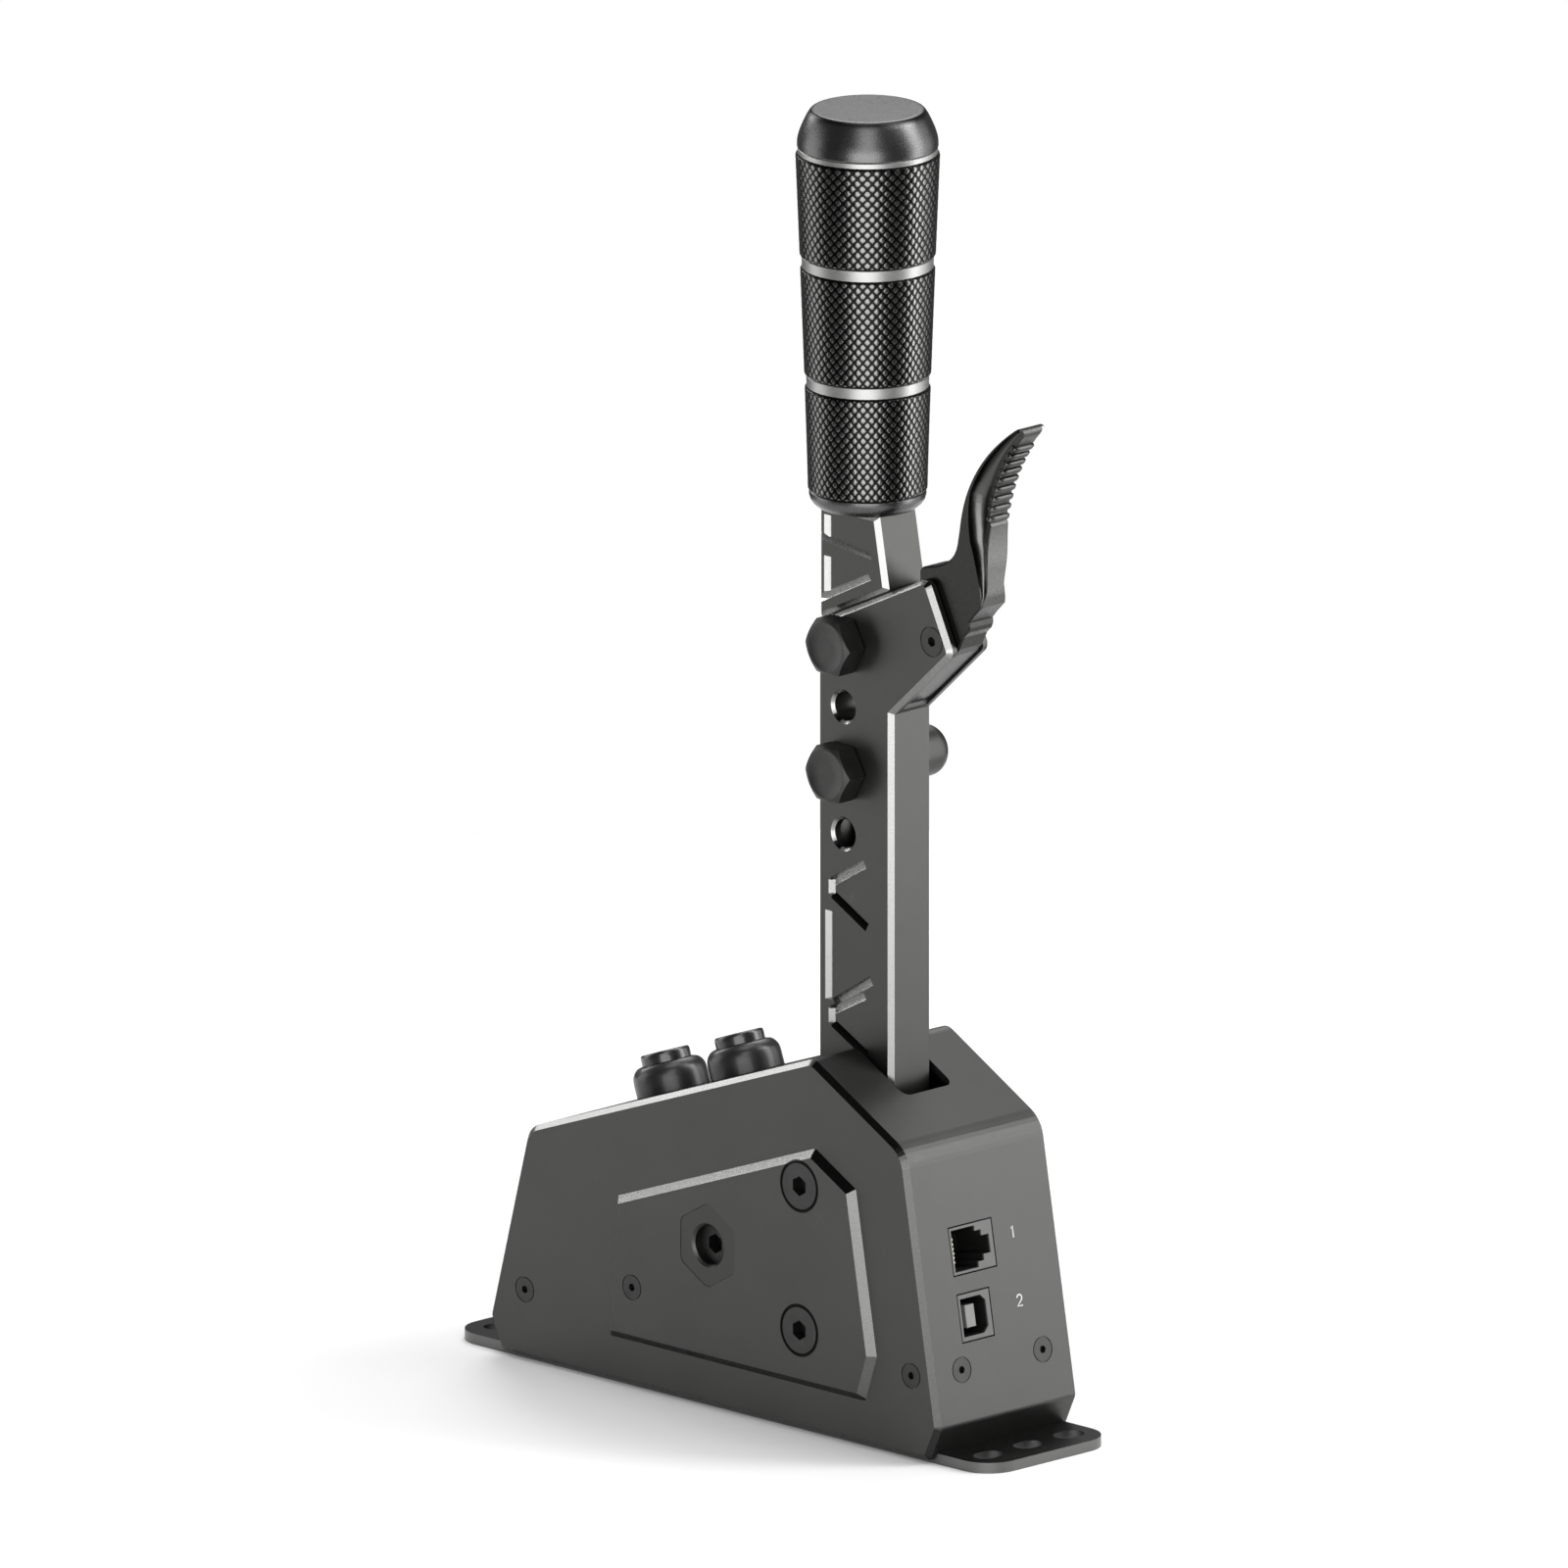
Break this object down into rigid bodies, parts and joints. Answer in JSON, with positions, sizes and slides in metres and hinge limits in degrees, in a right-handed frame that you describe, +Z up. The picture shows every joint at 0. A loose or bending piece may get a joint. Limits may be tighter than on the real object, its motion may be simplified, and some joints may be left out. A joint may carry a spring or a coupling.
{
  "type": "sim racing gear shifter",
  "caption": "Upright gear shifter: a knurled knob on a forked sprung lever with a finger trigger, over a bevelled housing with push buttons and two sockets.",
  "frame": {"origin": "underside of the base plate, at its middle", "axes": "+Z up, +X away from the driver towards the port face, Y across"},
  "size_m": [0.209, 0.0582, 0.3694],
  "materials": {
    "flank": "dark grey anodised, bead blasted, bright cut chamfers",
    "cover": "grey anodised sheet, satin",
    "block": "as milled",
    "arm": "dark grey anodised, bright cut chamfers and grooves",
    "black_steel": "black oxide",
    "bright_steel": "ground",
    "bush": "sintered bronze",
    "spacer": "moulded",
    "sleeve": "matt",
    "board": "solder mask",
    "post": "turned",
    "socket_shell": "moulded, grey",
    "socket_tongue": "moulded, light grey",
    "button": "gloss black",
    "band": "bright turned",
    "grip": "black, diamond knurled",
    "cap": "black, satin turned",
    "finger": "black anodised, satin"
  },
  "bodies": {
    "housing": {"base_plate": "cover", "side_plate_near": "flank", "side_plate_far": "flank", "wrap_cover": "cover", "front_block": "block", "rear_block": "block", "middle_tie": "block", "cross_tie": "black_steel", "hex_nuts": "black_steel", "base_screws": "black_steel", "flank_screws": "black_steel", "port_screws": "black_steel", "pivot_shaft": "bright_steel", "pivot_spacers": "spacer", "pivot_screws": "black_steel", "stop_pin": "bright_steel", "stop_sleeve": "sleeve", "stop_screws": "black_steel", "return_springs": "bright_steel", "main_board": "board", "board_posts": "post", "port_board": "board", "port_board_posts": "post", "network_jack": "socket_shell", "jack_contacts": "post", "usb_socket": "socket_shell", "usb_tongue": "socket_tongue", "sensor_board": "board", "sensor_posts": "post", "button_collar_1": "button", "button_collar_2": "button", "button_nuts": "bright_steel"},
    "button_1": {"button_cap_1": "button"},
    "button_2": {"button_cap_2": "button"},
    "shift_lever": {"lower_arm": "arm", "arm_bushes": "bush", "rocker_plate": "block", "rocker_screws": "black_steel", "sensor_magnet": "bright_steel", "upper_bar": "arm", "clamp_bolts": "black_steel", "dome_nuts": "black_steel", "lever_pin": "black_steel", "lever_stop": "spacer", "stop_magnet": "bright_steel", "micro_switch": "spacer", "knob_core": "band", "grip_upper": "grip", "grip_middle": "grip", "grip_lower": "grip", "knob_cap": "cap", "knob_screw": "bright_steel"},
    "finger_paddle": {"finger_lever": "finger", "lever_magnet": "bright_steel"}
  },
  "joints": [
    {"name": "shift_hinge", "type": "hinge", "parent": "housing", "child": "shift_lever", "pos_m": [0.0356, 0, 0.0295], "axis": [0, 1, 0], "range_deg": [-5, 5], "stiffness_Nm_per_rad": 40, "deforming": ["return_springs"]},
    {"name": "finger_hinge", "type": "hinge", "parent": "shift_lever", "child": "finger_paddle", "pos_m": [0.0657, 0, 0.2261], "axis": [0, -1, 0], "range_deg": [0, 10], "stiffness_Nm_per_rad": 1, "springref_deg": -17.19},
    {"name": "button_1_slide", "type": "slide", "parent": "housing", "child": "button_1", "axis": [0.3404, 0, -0.9403], "range_m": [0, 0.0015], "stiffness_N_per_m": 300, "springref_m": -0.002},
    {"name": "button_2_slide", "type": "slide", "parent": "housing", "child": "button_2", "axis": [0.3404, 0, -0.9403], "range_m": [0, 0.0015], "stiffness_N_per_m": 300, "springref_m": -0.002}
  ]
}
